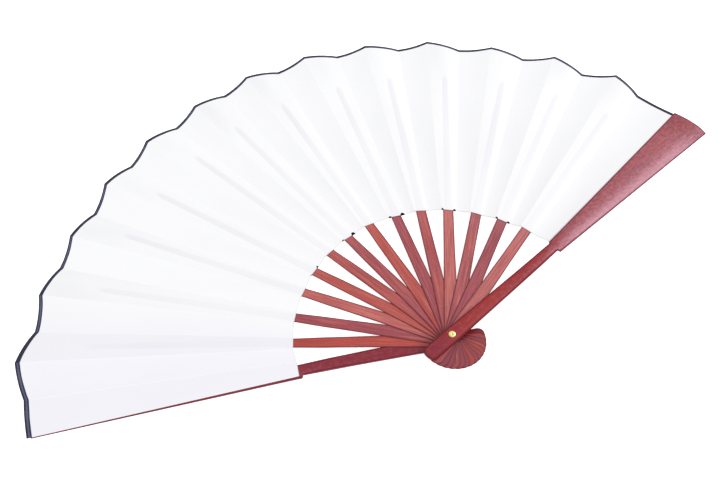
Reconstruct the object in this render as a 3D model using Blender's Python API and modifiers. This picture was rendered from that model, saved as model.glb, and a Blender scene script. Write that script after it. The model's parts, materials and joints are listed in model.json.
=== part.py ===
"""Folding tai chi fan, lying open on its back.

Two wide guards and thirteen thin sticks turn on one brass rivet. A double leaf is pleated over
them: each stick ends in a slip that sits in a pocket of the leaf, the panels between the sticks
fold over, and the two end panels are glued to the guards. A narrow binding is folded over the
outer edge of the leaf.

The rivet's axis is Z and the fan lies in the XY plane, opening evenly to both sides of +Y.
Every stick and guard has its own frame: its x runs clockwise across it, its y out along it from
the rivet. All lengths are in metres and all angles in degrees.
"""

import math

import bmesh
import bpy
from mathutils import Matrix, Vector

# Leaf, radii from the rivet's axis
RIDGE_RADIUS = 0.3000
VALLEY_RADIUS = 0.2943
REAR_EDGE_RADIUS = 0.2930
FRONT_EDGE_RADIUS = 0.2888
LEAF_INNER_RADIUS = 0.1125
PLEAT_HEIGHT = 0.0036
POCKET_EDGE_BULGE = 0.0015
FOLD_EDGE_BULGE = 0.0003
PLY_THICKNESS = 0.00008
CREASE_GAP = 0.0003
BINDING_WIDTH = 0.0022
BINDING_PROUD = 0.00002
BINDING_STEP = 0.00006
PANEL_SPAN = 5.24
REAR_FOLD_SPAN = 5.22
FRONT_FOLD_SPAN = 6.70
END_PANEL_INSET = 0.0003

# How far the fan stands open
STICK_STEP = 10.4
REAR_GUARD_STEP = 11.4
FRONT_GUARD_STEP = 13.2

# How far each stick stands from its place in an even spread, in shares of a step
STICK_DRIFT_SHARES = (
    -0.045, -0.025, -0.010, -0.035, -0.070, -0.110, -0.130,
    -0.110, -0.085, -0.055, 0.0, 0.030, 0.030,
)
STICK_COUNT = len(STICK_DRIFT_SHARES)

# Sticks
STICK_THICKNESS = 0.00035
STICK_GAP = 0.00015
STICK_RIVET_WIDTH = 0.0108
STICK_LEAF_WIDTH = 0.0075
STICK_EASING_WIDTH = 0.0009
STICK_EASING_DEPTH = 0.00010
HEAD_LENGTH = 0.0252
TWIST_START_RADIUS = 0.0880
TWIST_END_RADIUS = 0.1110

# Slips, the thin ends of the sticks inside the leaf
SLIP_THICKNESS = 0.00014
SLIP_WIDTH = 0.0058
SLIP_TIP_WIDTH = 0.0044
SLIP_TIP_RADIUS = 0.2580
SLIP_SHOULDER_START = 0.0012
SLIP_SHOULDER_LENGTH = 0.0040
POCKET_FACE_CLEARANCE = 0.00003
POCKET_SIDE_CLEARANCE = 0.0004
POCKET_END_CLEARANCE = 0.0010

# Guards. The blade leans a little to the side where the leaf is glued to it
GUARD_RIVET_WIDTH = 0.0114
GUARD_NECK_WIDTH = 0.0082
GUARD_THICKNESS = 0.0020
GUARD_EASING_DEPTH = 0.0004
BLADE_NECK_OUTER_WIDTH = 0.0064
BLADE_NECK_LEAF_WIDTH = 0.0052
BLADE_TIP_OUTER_WIDTH = 0.0114
BLADE_TIP_LEAF_WIDTH = 0.0196
BLADE_RADIUS = 0.2922
BLADE_TIP_BOW = 0.0020
BLADE_EASING_DEPTH = 0.0004
SHOULDER_RADIUS = 0.1115
SHOULDER_LENGTH = 0.0008
OUTER_RAMP_START = 0.0600
INNER_RAMP_START = 0.0840
GLUE_GAP = 0.0001

# Rivet
PIN_RADIUS = 0.0014
DOME_RADIUS = 0.0031
DOME_HEIGHT = 0.0014
DOME_RIM_HEIGHT = 0.0003
CAP_RADIUS = 0.0035
CAP_HEIGHT = 0.0008
CAP_EDGE = 0.0003
CAP_SOCKET_DEPTH = 0.0004
BORE_CLEARANCE = 0.0003
SEAT_GAP = 0.0001
CUT_OVERRUN = 0.0010
MERGE_DISTANCE = 0.000005

# Corner radii as shares of a half width: of a stick's head, a slip's tip and a guard's head
HEAD_CORNER_SHARE = 0.92
SLIP_CORNER_SHARE = 0.66
GUARD_CORNER_SHARE = 0.80

# Shares of a half width at which the guard's rounded outer face is drawn, and shares of the
# lengths of its ramps and blade at which it has a section
GUARD_FACE_SHARES = (0.40, 0.60, 0.78, 0.91, 1.0)
RAMP_SHARES = (0.0, 0.25, 0.5, 0.75)
TWIST_SHARES = (0.0, 0.2, 0.4, 0.6, 0.8, 1.0)
CORNER_STEPS = 5
PANEL_ACROSS = 6
FOLD_ALONG = 3
ROUND_STEPS = 28
BORE_STEPS = 16
DOME_STEPS = 6

GUARD_COLOUR = (0.330, 0.052, 0.056, 1.0)
REAR_GUARD_COLOUR = (0.195, 0.040, 0.062, 1.0)
STICK_COLOURS = (
    (0.400, 0.082, 0.066, 1.0),
    (0.262, 0.050, 0.066, 1.0),
    (0.330, 0.062, 0.060, 1.0),
    (0.420, 0.105, 0.082, 1.0),
)
LEAF_COLOUR = (0.86, 0.85, 0.88, 1.0)
BRASS_COLOUR = (0.78, 0.60, 0.27, 1.0)

# Worked out from the sizes above
half_span = math.radians(PANEL_SPAN) / 2
pleat_slope = PLEAT_HEIGHT / (2 * RIDGE_RADIUS * math.sin(half_span))
pleat_tilt = math.atan(pleat_slope)
pleat_rise = pleat_slope * math.sin(half_span)
pitch = STICK_THICKNESS + STICK_GAP
pocket_height = SLIP_THICKNESS + 2 * POCKET_FACE_CLEARANCE
pocket_panel_thickness = pocket_height + 2 * PLY_THICKNESS
fold_thickness = 2 * PLY_THICKNESS
bore_radius = PIN_RADIUS + BORE_CLEARANCE

shank_outer_z = CAP_HEIGHT + SEAT_GAP
shank_inner_z = shank_outer_z + GUARD_THICKNESS
first_stick_z = shank_inner_z + STICK_GAP + STICK_THICKNESS / 2
rear_leaf_z = first_stick_z - pitch
front_leaf_z = rear_leaf_z + (STICK_COUNT + 1) * pitch
guards_z_sum = rear_leaf_z + front_leaf_z
shank_top_z = guards_z_sum - shank_outer_z

first_stick_angle = -(STICK_COUNT - 1) * STICK_STEP / 2
last_stick_angle = first_stick_angle + (STICK_COUNT - 1) * STICK_STEP
rear_guard_angle = first_stick_angle - REAR_GUARD_STEP
front_guard_angle = last_stick_angle + FRONT_GUARD_STEP
stick_angles = []
for i, share in enumerate(STICK_DRIFT_SHARES):
    stick_angles.append(first_stick_angle + (i + share) * STICK_STEP)


def clear_scene():
    for thing in list(bpy.data.objects):
        bpy.data.objects.remove(thing, do_unlink=True)
    for group in list(bpy.data.collections):
        bpy.data.collections.remove(group)


def new_collection(name):
    group = bpy.data.collections.new(name)
    bpy.context.scene.collection.children.link(group)
    return group


def finish(name, colour, roughness, metallic=0.0):
    material = bpy.data.materials.new(name)
    material.use_nodes = True
    shader = material.node_tree.nodes["Principled BSDF"]
    shader.inputs["Base Color"].default_value = colour
    shader.inputs["Roughness"].default_value = roughness
    shader.inputs["Metallic"].default_value = metallic
    material.diffuse_color = colour
    return material


def between(start, end, share):
    return start + (end - start) * share


def smooth_rise(start, end, at):
    """0 before start, 1 after end, and an S-curve between them."""
    share = min(max((at - start) / (end - start), 0.0), 1.0)
    return share * share * (3 - 2 * share)


def polar(radius, angle, height=0.0):
    """A point at this radius and at this clockwise angle from a piece's own y axis."""
    return Vector((radius * math.sin(angle), radius * math.cos(angle), height))


def baked(master):
    """The mesh of an object with its modifiers applied. The object itself is removed."""
    bpy.context.view_layer.update()
    graph = bpy.context.evaluated_depsgraph_get()
    mesh = bpy.data.meshes.new_from_object(master.evaluated_get(graph))
    mesh.name = master.name
    bpy.data.objects.remove(master, do_unlink=True)
    return mesh


def placed(name, mesh, group, material, parent=None, location=(0.0, 0.0, 0.0), turn=(0.0, 0.0, 0.0)):
    """A named piece in its parent's frame, turned by angles in radians about X, Y and Z."""
    piece = bpy.data.objects.new(name, mesh)
    group.objects.link(piece)
    piece.parent = parent
    piece.location = location
    piece.rotation_euler = turn
    if not mesh.materials:
        mesh.materials.append(material)
    piece.material_slots[0].link = "OBJECT"
    piece.material_slots[0].material = material
    return piece


def plate_loft(name, stations, group):
    """A closed plate through stations, each a lower and an upper row of as many points."""
    shape = bmesh.new()
    rows = [[[shape.verts.new(p) for p in row] for row in station] for station in stations]
    for near, far in zip(rows, rows[1:]):
        for row_near, row_far in zip(near, far):
            for i in range(len(row_near) - 1):
                shape.faces.new((row_near[i], row_near[i + 1], row_far[i + 1], row_far[i]))
        for side in (0, -1):
            shape.faces.new((near[0][side], near[1][side], far[1][side], far[0][side]))
    for lower, upper in (rows[0], rows[-1]):
        for i in range(len(lower) - 1):
            shape.faces.new((lower[i], lower[i + 1], upper[i + 1], upper[i]))
    bmesh.ops.recalc_face_normals(shape, faces=shape.faces)
    mesh = bpy.data.meshes.new(name)
    shape.to_mesh(mesh)
    shape.free()
    solid = bpy.data.objects.new(name, mesh)
    group.objects.link(solid)
    return solid


def as_cutter(cutter, name, group):
    cutter.name = name
    for old in list(cutter.users_collection):
        old.objects.unlink(cutter)
    group.objects.link(cutter)
    cutter.hide_render = True
    cutter.display_type = "WIRE"
    return cutter


def bore_cutter(name, low, high, group):
    bpy.ops.mesh.primitive_cylinder_add(
        vertices=BORE_STEPS,
        radius=bore_radius,
        depth=high - low,
        location=(0.0, 0.0, (low + high) / 2),
    )
    return as_cutter(bpy.context.active_object, name, group)


def cut(piece, cutter):
    step = piece.modifiers.new("cut", "BOOLEAN")
    step.operation = "DIFFERENCE"
    step.solver = "EXACT"
    step.object = cutter


def corner_stations(end, inward, share, half_width):
    """(place along, half width) through the rounded corners at the end of a strip, from its end."""
    radius = share * half_width
    stations = []
    for i in range(CORNER_STEPS):
        turn = math.radians(90) * i / (CORNER_STEPS - 1)
        place = end + inward * radius * (1 - math.cos(turn))
        stations.append((place, half_width - radius * (1 - math.sin(turn))))
    return stations


def stick_half_width(y):
    """The stick narrows from the rivet to the leaf, then steps in to the slip inside the pocket."""
    shank = between(STICK_RIVET_WIDTH, STICK_LEAF_WIDTH, max(y, 0.0) / LEAF_INNER_RADIUS)
    step_start = LEAF_INNER_RADIUS + SLIP_SHOULDER_START
    slip_start = step_start + SLIP_SHOULDER_LENGTH
    if y <= step_start:
        return shank / 2
    if y <= slip_start:
        return between(shank, SLIP_WIDTH, (y - step_start) / SLIP_SHOULDER_LENGTH) / 2
    share = (y - slip_start) / (SLIP_TIP_RADIUS - slip_start)
    return between(SLIP_WIDTH, SLIP_TIP_WIDTH, share) / 2


def stick_stations():
    """(place along, half width) of every section of a stick, from its head to the slip's tip."""
    step_start = LEAF_INNER_RADIUS + SLIP_SHOULDER_START
    head = corner_stations(-HEAD_LENGTH, 1, HEAD_CORNER_SHARE, STICK_RIVET_WIDTH / 2)
    twist = [between(TWIST_START_RADIUS, TWIST_END_RADIUS, share) for share in TWIST_SHARES]
    middle = [0.0] + twist + [step_start, step_start + SLIP_SHOULDER_LENGTH]
    tip = corner_stations(SLIP_TIP_RADIUS, -1, SLIP_CORNER_SHARE, SLIP_TIP_WIDTH / 2)
    return head + [(y, stick_half_width(y)) for y in middle] + tip[::-1]


def stick_section(y, half_width):
    """Eased on its front edges, thinned into the slip, and twisted to lie in the pleated leaf."""
    turned = smooth_rise(TWIST_START_RADIUS, TWIST_END_RADIUS, y)
    half_height = between(STICK_THICKNESS, SLIP_THICKNESS, turned) / 2
    depth = between(STICK_EASING_DEPTH, SLIP_THICKNESS / 4, turned)
    eased = half_width - min(STICK_EASING_WIDTH, half_width / 2)
    places = (-half_width, -eased, eased, half_width)
    heights = (half_height - depth, half_height, half_height, half_height - depth)
    twist = Matrix.Rotation(pleat_tilt * turned, 4, "Y")
    along = Vector((0.0, y, 0.0))
    back = [along + twist @ Vector((x, 0.0, -half_height)) for x in places]
    front = [along + twist @ Vector((x, 0.0, z)) for x, z in zip(places, heights)]
    return back, front


def stick_mesh(group, cutters):
    master = plate_loft("stick", [stick_section(*station) for station in stick_stations()], group)
    reach = STICK_THICKNESS / 2 + CUT_OVERRUN
    cut(master, bore_cutter("stick_bore", -reach, reach, cutters))
    return baked(master)


def guard_widths(y):
    """How far the guard reaches to its outer side and to its leaf side."""
    shank = between(GUARD_RIVET_WIDTH, GUARD_NECK_WIDTH, max(y, 0.0) / SHOULDER_RADIUS) / 2
    share = max((y - SHOULDER_RADIUS) / (BLADE_RADIUS - SHOULDER_RADIUS), 0.0)
    outer = between(BLADE_NECK_OUTER_WIDTH, BLADE_TIP_OUTER_WIDTH, share)
    leaf = between(BLADE_NECK_LEAF_WIDTH, BLADE_TIP_LEAF_WIDTH, share)
    turned = smooth_rise(SHOULDER_RADIUS - SHOULDER_LENGTH, SHOULDER_RADIUS, y)
    return between(shank, outer, turned), between(shank, leaf, turned)


def end_panel_z(y):
    """Height of the rear end panel, as low as the valleys of the leaf next to it."""
    return rear_leaf_z - pleat_slope * math.tan(half_span) * y


def guard_inner_z(y):
    """Level along the shank, then sinking to make room for the leaf."""
    under_leaf = end_panel_z(y) - PLY_THICKNESS - GLUE_GAP
    return between(shank_inner_z, under_leaf, smooth_rise(INNER_RAMP_START, SHOULDER_RADIUS, y))


def guard_section(y, widths, bow=0.0):
    """Flat inside, and outside flat in the middle and rounded off towards both edges."""
    turned = smooth_rise(OUTER_RAMP_START, SHOULDER_RADIUS, y)
    outer_z = shank_outer_z * (1 - turned)
    easing = between(GUARD_EASING_DEPTH, BLADE_EASING_DEPTH, turned)
    flat = GUARD_FACE_SHARES[0]
    outside, inside = [], []
    for share in [-share for share in reversed(GUARD_FACE_SHARES)] + list(GUARD_FACE_SHARES):
        x = share * (widths[0] if share < 0 else widths[1])
        curved = (abs(share) - flat) / (1 - flat)
        place = y - bow * share * share
        outside.append(Vector((x, place, outer_z + easing * curved * curved)))
        inside.append(Vector((x, place, guard_inner_z(y))))
    return outside, inside


def guard_mesh(group, cutters):
    """The rear guard in its own frame, its outer face down. The front guard is turned over."""
    head = corner_stations(-HEAD_LENGTH, 1, GUARD_CORNER_SHARE, GUARD_RIVET_WIDTH / 2)
    neck = SHOULDER_RADIUS - SHOULDER_LENGTH
    stretches = (
        (OUTER_RAMP_START, INNER_RAMP_START),
        (INNER_RAMP_START, neck),
        (neck, SHOULDER_RADIUS),
        (SHOULDER_RADIUS, BLADE_RADIUS),
    )
    places = [0.0] + [between(*ends, share) for ends in stretches for share in RAMP_SHARES]
    sections = [guard_section(y, (width, width)) for y, width in head]
    sections += [guard_section(y, guard_widths(y)) for y in places]
    sections.append(guard_section(BLADE_RADIUS, guard_widths(BLADE_RADIUS), BLADE_TIP_BOW))
    master = plate_loft("guard", sections, group)
    cut(master, bore_cutter("guard_bore", -CUT_OVERRUN, shank_inner_z + CUT_OVERRUN, cutters))
    return baked(master)


def crease_point(crease, share, back):
    """A point on a crease, given by its inner and outer end, set back from there by a length."""
    inner, outer = crease
    run = outer - inner
    return inner + run * share - run.normalized() * back


def panel_mesh(name, creases, bulge, thickness, along, group, cutter=None):
    """A leaf panel ruled between two creases, clear of both, and thicker under its binding.

    Its outer edge curves out by the bulge. The creases are given in the panel's own frame, and
    the origin of their radii is the first crease's centre.
    """
    (first, second), centre = creases
    rows = [(share / along, 0.0) for share in range(along)]
    rows += [(1.0, BINDING_WIDTH + BINDING_STEP), (1.0, BINDING_WIDTH), (1.0, 0.0)]
    shape = bmesh.new()
    bmesh.ops.create_grid(shape, x_segments=PANEL_ACROSS, y_segments=len(rows) - 1, size=0.5)
    bound = []
    for vert in shape.verts:
        row = round((vert.co.y + 0.5) * (len(rows) - 1))
        share, back = rows[row]
        start = crease_point(first, share, back)
        end = crease_point(second, share, back)
        gap_share = CREASE_GAP / 2 / (end - start).length
        across = between(gap_share, 1 - gap_share, vert.co.x + 0.5)
        spot = start.lerp(end, across)
        outwards = spot - centre
        outwards.z = 0.0
        vert.co = spot + outwards.normalized() * bulge * 4 * across * (1 - across) * share
        if row >= len(rows) - 2:
            bound.append(vert.index)
    mesh = bpy.data.meshes.new(name)
    shape.to_mesh(mesh)
    shape.free()
    master = bpy.data.objects.new(name, mesh)
    group.objects.link(master)
    master.vertex_groups.new(name="binding").add(bound, 1.0, "REPLACE")
    body = master.modifiers.new("plies", "SOLIDIFY")
    body.thickness = thickness + 2 * BINDING_PROUD
    body.offset = 0.0
    body.vertex_group = "binding"
    body.thickness_vertex_group = thickness / (thickness + 2 * BINDING_PROUD)
    if cutter is not None:
        cut(master, cutter)
    return baked(master)


def ridge(angle, base_z, outer_radius=RIDGE_RADIUS):
    """An outward crease, raised above the height of the stick that carries it."""
    return [polar(r, angle, base_z + pleat_rise * r) for r in (LEAF_INNER_RADIUS, outer_radius)]


def valley(angle, base_z):
    """An inward crease, as far below the stick as a ridge is above it."""
    return [polar(r, angle, base_z - pleat_rise * r) for r in (LEAF_INNER_RADIUS, VALLEY_RADIUS)]


def pocket_cutter(cutters):
    """The hollow that a slip fills: the slip's own outline with its clearances."""
    side = POCKET_SIDE_CLEARANCE
    mouth = (LEAF_INNER_RADIUS - CUT_OVERRUN, STICK_LEAF_WIDTH / 2 + side)
    inside = [(y, width + side) for y, width in stick_stations() if y > LEAF_INNER_RADIUS]
    end, tip_width = inside[-1]
    half_height = pocket_height / 2
    stations = []
    for y, width in [mouth] + inside[:-1] + [(end + POCKET_END_CLEARANCE, tip_width)]:
        heights = (-half_height, half_height)
        stations.append([[Vector((x, y, z)) for x in (-width, width)] for z in heights])
    return as_cutter(plate_loft("pocket", stations, cutters), "pocket_hollow", cutters)


def pocket_panel_mesh(group, cutters):
    """The leaf's panel on a stick, flat in its own frame, which is tilted about the stick."""
    untilt = Matrix.Rotation(-pleat_tilt, 4, "Y")
    left = [untilt @ point for point in ridge(-half_span, 0.0)]
    right = [untilt @ point for point in valley(half_span, 0.0)]
    creases = ((left, right), Vector())
    thickness = pocket_panel_thickness
    hollow = pocket_cutter(cutters)
    return panel_mesh("pocket_panel", creases, POCKET_EDGE_BULGE, thickness, 1, group, hollow)


def fold_panel(name, low, high, group, material, parent):
    """A panel between two sticks, from a valley to the next ridge. Its origin is on the valley."""
    origin = low[0]
    creases = ([[point - origin for point in crease] for crease in (low, high)], -origin)
    mesh = panel_mesh(name, creases, FOLD_EDGE_BULGE, fold_thickness, FOLD_ALONG, group)
    return placed(name, mesh, group, material, parent, origin)


def end_panel_mesh(name, crease_angle, crease_radius, edge_radius, group):
    """The panel glued to a guard, in the frame of the rear guard, from its edge to the crease."""
    edge, crease = [], []
    for radius, crease_end in ((LEAF_INNER_RADIUS, LEAF_INNER_RADIUS), (edge_radius, crease_radius)):
        x = END_PANEL_INSET - guard_widths(radius)[0]
        y = math.sqrt(radius * radius - x * x)
        edge.append(Vector((x, y, end_panel_z(y))))
        crease.append(polar(crease_end, crease_angle, rear_leaf_z - pleat_rise * crease_end))
    creases = ((edge, crease), Vector())
    return panel_mesh(name, creases, FOLD_EDGE_BULGE, fold_thickness, FOLD_ALONG, group)


def turned_piece(name, profile, group, material, parent):
    """A piece turned on the Z axis. Its profile of (radius, height) runs from the top down."""
    mesh = bpy.data.meshes.new(name)
    points = [(radius, 0.0, height) for radius, height in profile]
    mesh.from_pydata(points, [(i, i + 1) for i in range(len(points) - 1)], [])
    piece = bpy.data.objects.new(name, mesh)
    group.objects.link(piece)
    turn = piece.modifiers.new("turn", "SCREW")
    turn.steps = ROUND_STEPS
    turn.render_steps = ROUND_STEPS
    turn.use_merge_vertices = True
    turn.merge_threshold = MERGE_DISTANCE
    solid = baked(piece)
    solid.shade_smooth()
    return placed(name, solid, group, material, parent)


def rivet(group, material, parent):
    """A pin with a domed head on the front guard, and the cap closed over its other end."""
    seat = shank_top_z + SEAT_GAP
    dome = []
    for i in range(DOME_STEPS + 1):
        turn = math.radians(90) * i / DOME_STEPS
        height = seat + DOME_RIM_HEIGHT + (DOME_HEIGHT - DOME_RIM_HEIGHT) * math.cos(turn)
        dome.append((DOME_RADIUS * math.sin(turn), height))
    socket_floor = CAP_HEIGHT - CAP_SOCKET_DEPTH
    end = socket_floor + SEAT_GAP
    shaft = [(DOME_RADIUS, seat), (PIN_RADIUS, seat), (PIN_RADIUS, end), (0.0, end)]
    turned_piece("rivet_pin", dome + shaft, group, material, parent)
    socket_radius = PIN_RADIUS + SEAT_GAP
    cap = [
        (0.0, socket_floor),
        (socket_radius, socket_floor),
        (socket_radius, CAP_HEIGHT),
        (CAP_RADIUS, CAP_HEIGHT),
        (CAP_RADIUS, CAP_EDGE),
        (CAP_RADIUS - CAP_EDGE, 0.0),
        (0.0, 0.0),
    ]
    turned_piece("rivet_cap", cap, group, material, parent)


def main():
    clear_scene()
    fan = new_collection("tai_chi_fan")
    cutters = new_collection("cutters")
    axis = bpy.data.objects.new("rivet_axis", None)
    fan.objects.link(axis)

    guard = guard_mesh(fan, cutters)
    rear_wood = finish("rear_guard_wood", REAR_GUARD_COLOUR, 0.55)
    front_wood = finish("front_guard_wood", GUARD_COLOUR, 0.50)
    rear_turn = (0.0, 0.0, -math.radians(rear_guard_angle))
    front_turn = (0.0, math.pi, -math.radians(front_guard_angle))
    rear = placed("rear_guard", guard, fan, rear_wood, axis, turn=rear_turn)
    front_place = (0.0, 0.0, guards_z_sum)
    front = placed("front_guard", guard, fan, front_wood, axis, front_place, front_turn)

    rear_crease = math.radians(REAR_GUARD_STEP - REAR_FOLD_SPAN) - half_span
    front_crease = math.radians(FRONT_GUARD_STEP - FRONT_FOLD_SPAN) - half_span
    end_leaf = finish("end_panel_leaf", LEAF_COLOUR, 0.85)
    mesh = end_panel_mesh("rear_end", rear_crease, VALLEY_RADIUS, REAR_EDGE_RADIUS, fan)
    placed("rear_end_panel", mesh, fan, end_leaf, rear)
    mesh = end_panel_mesh("front_end", front_crease, FRONT_EDGE_RADIUS, FRONT_EDGE_RADIUS, fan)
    placed("front_end_panel", mesh, fan, end_leaf, front)

    fold_leaf = finish("fold_panel_leaf", LEAF_COLOUR, 0.85)
    low = valley(rear_crease, rear_leaf_z)
    high = ridge(math.radians(stick_angles[0] - rear_guard_angle) - half_span, first_stick_z)
    fold_panel("fold_panel_00", low, high, fan, fold_leaf, rear)

    pocket_leaf = finish("pocket_panel_leaf", LEAF_COLOUR, 0.85)
    woods = []
    for i, colour in enumerate(STICK_COLOURS):
        woods.append(finish(f"stick_wood_{i + 1}", colour, 0.50))
    stick = stick_mesh(fan, cutters)
    pocket_panel = pocket_panel_mesh(fan, cutters)
    for i, angle in enumerate(stick_angles):
        label = f"{i + 1:02d}"
        place = (0.0, 0.0, first_stick_z + i * pitch)
        turn = (0.0, 0.0, -math.radians(angle))
        wood = woods[i % len(woods)]
        carrier = placed("stick_" + label, stick, fan, wood, axis, place, turn)
        tilt = (0.0, pleat_tilt, 0.0)
        placed("pocket_panel_" + label, pocket_panel, fan, pocket_leaf, carrier, turn=tilt)
        low = valley(half_span, 0.0)
        if i < STICK_COUNT - 1:
            high = ridge(math.radians(stick_angles[i + 1] - angle) - half_span, pitch)
        else:
            span = math.radians(last_stick_angle + FRONT_FOLD_SPAN - angle)
            high = ridge(half_span + span, pitch, FRONT_EDGE_RADIUS)
        fold_panel("fold_panel_" + label, low, high, fan, fold_leaf, carrier)

    rivet(fan, finish("rivet_brass", BRASS_COLOUR, 0.25, 1.0), axis)


main()
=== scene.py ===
import json
import math

import bmesh
import bpy
import numpy as np
from mathutils import Matrix, Vector

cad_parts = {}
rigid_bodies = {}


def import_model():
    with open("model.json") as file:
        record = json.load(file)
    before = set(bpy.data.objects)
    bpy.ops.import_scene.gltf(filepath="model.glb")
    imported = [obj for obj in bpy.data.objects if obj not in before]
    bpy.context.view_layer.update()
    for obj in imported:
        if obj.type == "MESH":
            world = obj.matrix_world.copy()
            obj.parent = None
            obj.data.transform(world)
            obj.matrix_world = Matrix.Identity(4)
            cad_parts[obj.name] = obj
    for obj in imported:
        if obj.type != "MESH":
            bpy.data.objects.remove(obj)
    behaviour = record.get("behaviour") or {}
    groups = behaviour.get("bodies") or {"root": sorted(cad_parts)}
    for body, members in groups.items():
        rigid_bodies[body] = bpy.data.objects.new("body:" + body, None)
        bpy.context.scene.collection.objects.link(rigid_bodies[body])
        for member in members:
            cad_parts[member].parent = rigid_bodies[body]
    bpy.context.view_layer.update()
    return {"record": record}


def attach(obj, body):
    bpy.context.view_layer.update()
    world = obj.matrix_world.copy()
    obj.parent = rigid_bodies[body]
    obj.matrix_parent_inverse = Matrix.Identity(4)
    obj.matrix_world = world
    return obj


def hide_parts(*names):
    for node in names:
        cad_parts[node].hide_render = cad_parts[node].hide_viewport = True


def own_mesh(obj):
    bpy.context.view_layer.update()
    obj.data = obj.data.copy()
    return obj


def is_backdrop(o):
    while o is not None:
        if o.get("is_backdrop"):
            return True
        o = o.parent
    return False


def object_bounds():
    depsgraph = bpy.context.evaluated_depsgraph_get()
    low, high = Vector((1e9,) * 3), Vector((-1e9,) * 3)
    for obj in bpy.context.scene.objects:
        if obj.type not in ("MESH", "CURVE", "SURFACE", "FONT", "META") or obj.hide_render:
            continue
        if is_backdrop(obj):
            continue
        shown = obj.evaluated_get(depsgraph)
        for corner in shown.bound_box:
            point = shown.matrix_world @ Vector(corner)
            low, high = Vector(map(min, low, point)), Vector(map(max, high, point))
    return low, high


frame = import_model()

# Lengths here are in millimetres and angles in degrees clockwise from +Y, as the fan lies open.
# A piece's own frame has x clockwise across it and y out along it from the rivet's axis.
opening = {
    "sticks": 13,
    "firstStick": -62.4,
    "stickStep": 10.4,
    "drifts": (
        -0.045, -0.025, -0.01, -0.035, -0.07, -0.11, -0.13, -0.11, -0.085, -0.055, 0.0, 0.03, 0.03,
    ),
    "rearGuard": -73.8,
    "frontGuard": 75.6,
    "firstHeight": 3.225,
    "pitch": 0.5,
    "guardsHeightSum": 12.45,
}
leaf = {
    # The even creases, as in the solids
    "innerRadius": 112.5,
    "ridgeRadius": 300.0,
    "valleyRadius": 294.3,
    "pleatHeight": 3.6,
    "panelSpan": 5.24,
    "rearFoldSpan": 5.22,
    "frontFoldSpan": 6.70,
    # The two edges that are glued to the guards, and how far in they lie at both ends
    "rearInnerRadius": 110.4,
    "rearEdgeRadius": 294.6,
    "frontEdgeRadius": 291.0,
    "rearInsets": (1.7, 0.6),
    "frontInsets": (0.3, 0.3),
    # How much further each crease's ends reach, and how far clockwise they lean
    "ridgeReaches": (3.75, -0.9, -3.1, -1.1, -0.1, -0.1, 1.8, 1.2, -0.8, -1.2, -3.2, 0.4, 2.5),
    "ridgeLeans": (0.17, -0.01, -0.15, 0.02, -0.06, 0, 0, -0.15, -0.2, -0.25, -0.13, -0.07, 0.09),
    "valleyReaches": (2.1, 1.3, -0.4, -2.2, 0.3, 0.2, 2.4, 2.5, 1.8, -0.2, -0.8, -1.8, -1.1, 0.05),
    "valleyLeans": (
        -0.28, -0.02, 0.03, -0.16, -0.13, 0.0, 0.14, 0.16, 0.15, 0.22, 0.09, 0.28, 0.07, -0.34,
    ),
    "innerReaches": (-0.5, 0.1, 0.2, 0.9, 1.2, 1.1, 1.6, 0.2, 0.5, -0.1, -0.9, -1.2, -0.3),
    "innerReachRear": -2.3,
    "innerLeans": (-0.1, -0.25, 0.33, 0.06, 0.25, -0.08, -0.18, 0.5, 0, 0.12, 0.27, 0.13, -0.1),
    # How far the outer edges bow out, and the panels are crowned at their two ends
    "pocketEdgeBulge": 1.0,
    "foldEdgeBulge": -0.9,
    "rearFoldEdgeBulge": 1.0,
    "lastFoldEdgeBulge": 0.5,
    "endEdgeBulge": 0.4,
    "pocketCrowns": (0.19, 0.55),
    "foldCrowns": (-0.34, -0.55),
    "lastFoldCrowns": (-0.45, -0.90),
    "crownWidth": 27.4,
    # Half the paper's thickness, which tapers to the creases, and how the slip lifts it
    "ply": 0.05,
    "taper": 5.0,
    "slipLift": 0.10,
    "slipReach": 3.5,
    "slipBeyond": 6,
    "slipTip": 2,
    "flatBackEnd": 285.0,
    # The slip's shade, which is deepest along its left edge
    "slipShades": (0.45, 0.65, 0.90, 1.0, 1.0, 1.0, 1.0, 1.0, 1.0, 1.0, 0.95, 0.75, 0.70),
    "tipShade": 7.0,
    "shadeSoftness": 0.6,
    "leftEdgeReach": 0.9,
    "leftEdgeDepth": 0.3,
    "leftward": (-7, 5),
    # Where the painted cool shade towards the leaf's lower left begins and is full
    "coolSide": (-48, -68),
    # The pockets' mouths, and how deep the front sheet is notched at the left and right
    "mouthWidths": (0, 0, 0, 0.4, 0, 1.0, 0, 1.1, 0, 0.5, 0, 0.6, 0),
    "mouthsLeft": (0, 0, 0, 0.4, 0, 0.7, 0, 1.0, 0, 1.3, 0, 1.4, 0),
    "mouthsRight": (0, 0, 0, 1.2, 0, 2.1, 0, 1.9, 0, 1.3, 0, 1.3, 0),
    "mouthDepth": 5.0,
    "mouthLift": 0.25,
    "mouthSag": 0.35,
    "mouthFade": 15.0,
    "mouthBeside": (-0.6, 0.4),
    "mouthCorner": 0.8,
    # Where the closed leaf would be pressed to, and how much of its height or width would be
    # kept; the closing steps below press nothing
    "pocketPress": -0.04,
    "pocketKeep": 0.25,
    "foldPress": 0.25,
    "foldKeep": 0.12,
    "lastFoldLift": 0.07,
    "lastFoldKeep": 0.80,
    # The mesh: its points, its sharp edges and where in the paper's pattern each pocket lies
    "across": 25,
    "along": 49,
    "sharpAngle": 50,
    "patternStep": (0.23, 0.11),
}
halfSpan = math.radians(leaf["panelSpan"]) / 2
pleatSlope = leaf["pleatHeight"] / (2 * leaf["ridgeRadius"] * math.sin(halfSpan))
pleatTilt = math.atan(pleatSlope)
pleatRise = pleatSlope * math.sin(halfSpan)
rearLeafHeight = opening["firstHeight"] - opening["pitch"]


def between(start, end, share):
    return start + (end - start) * share


def stickAngle(number):
    # In an even spread but for a small drift of its own, in shares of a step
    steps = number - 1 + opening["drifts"][number - 1]
    return opening["firstStick"] + steps * opening["stickStep"]


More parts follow.
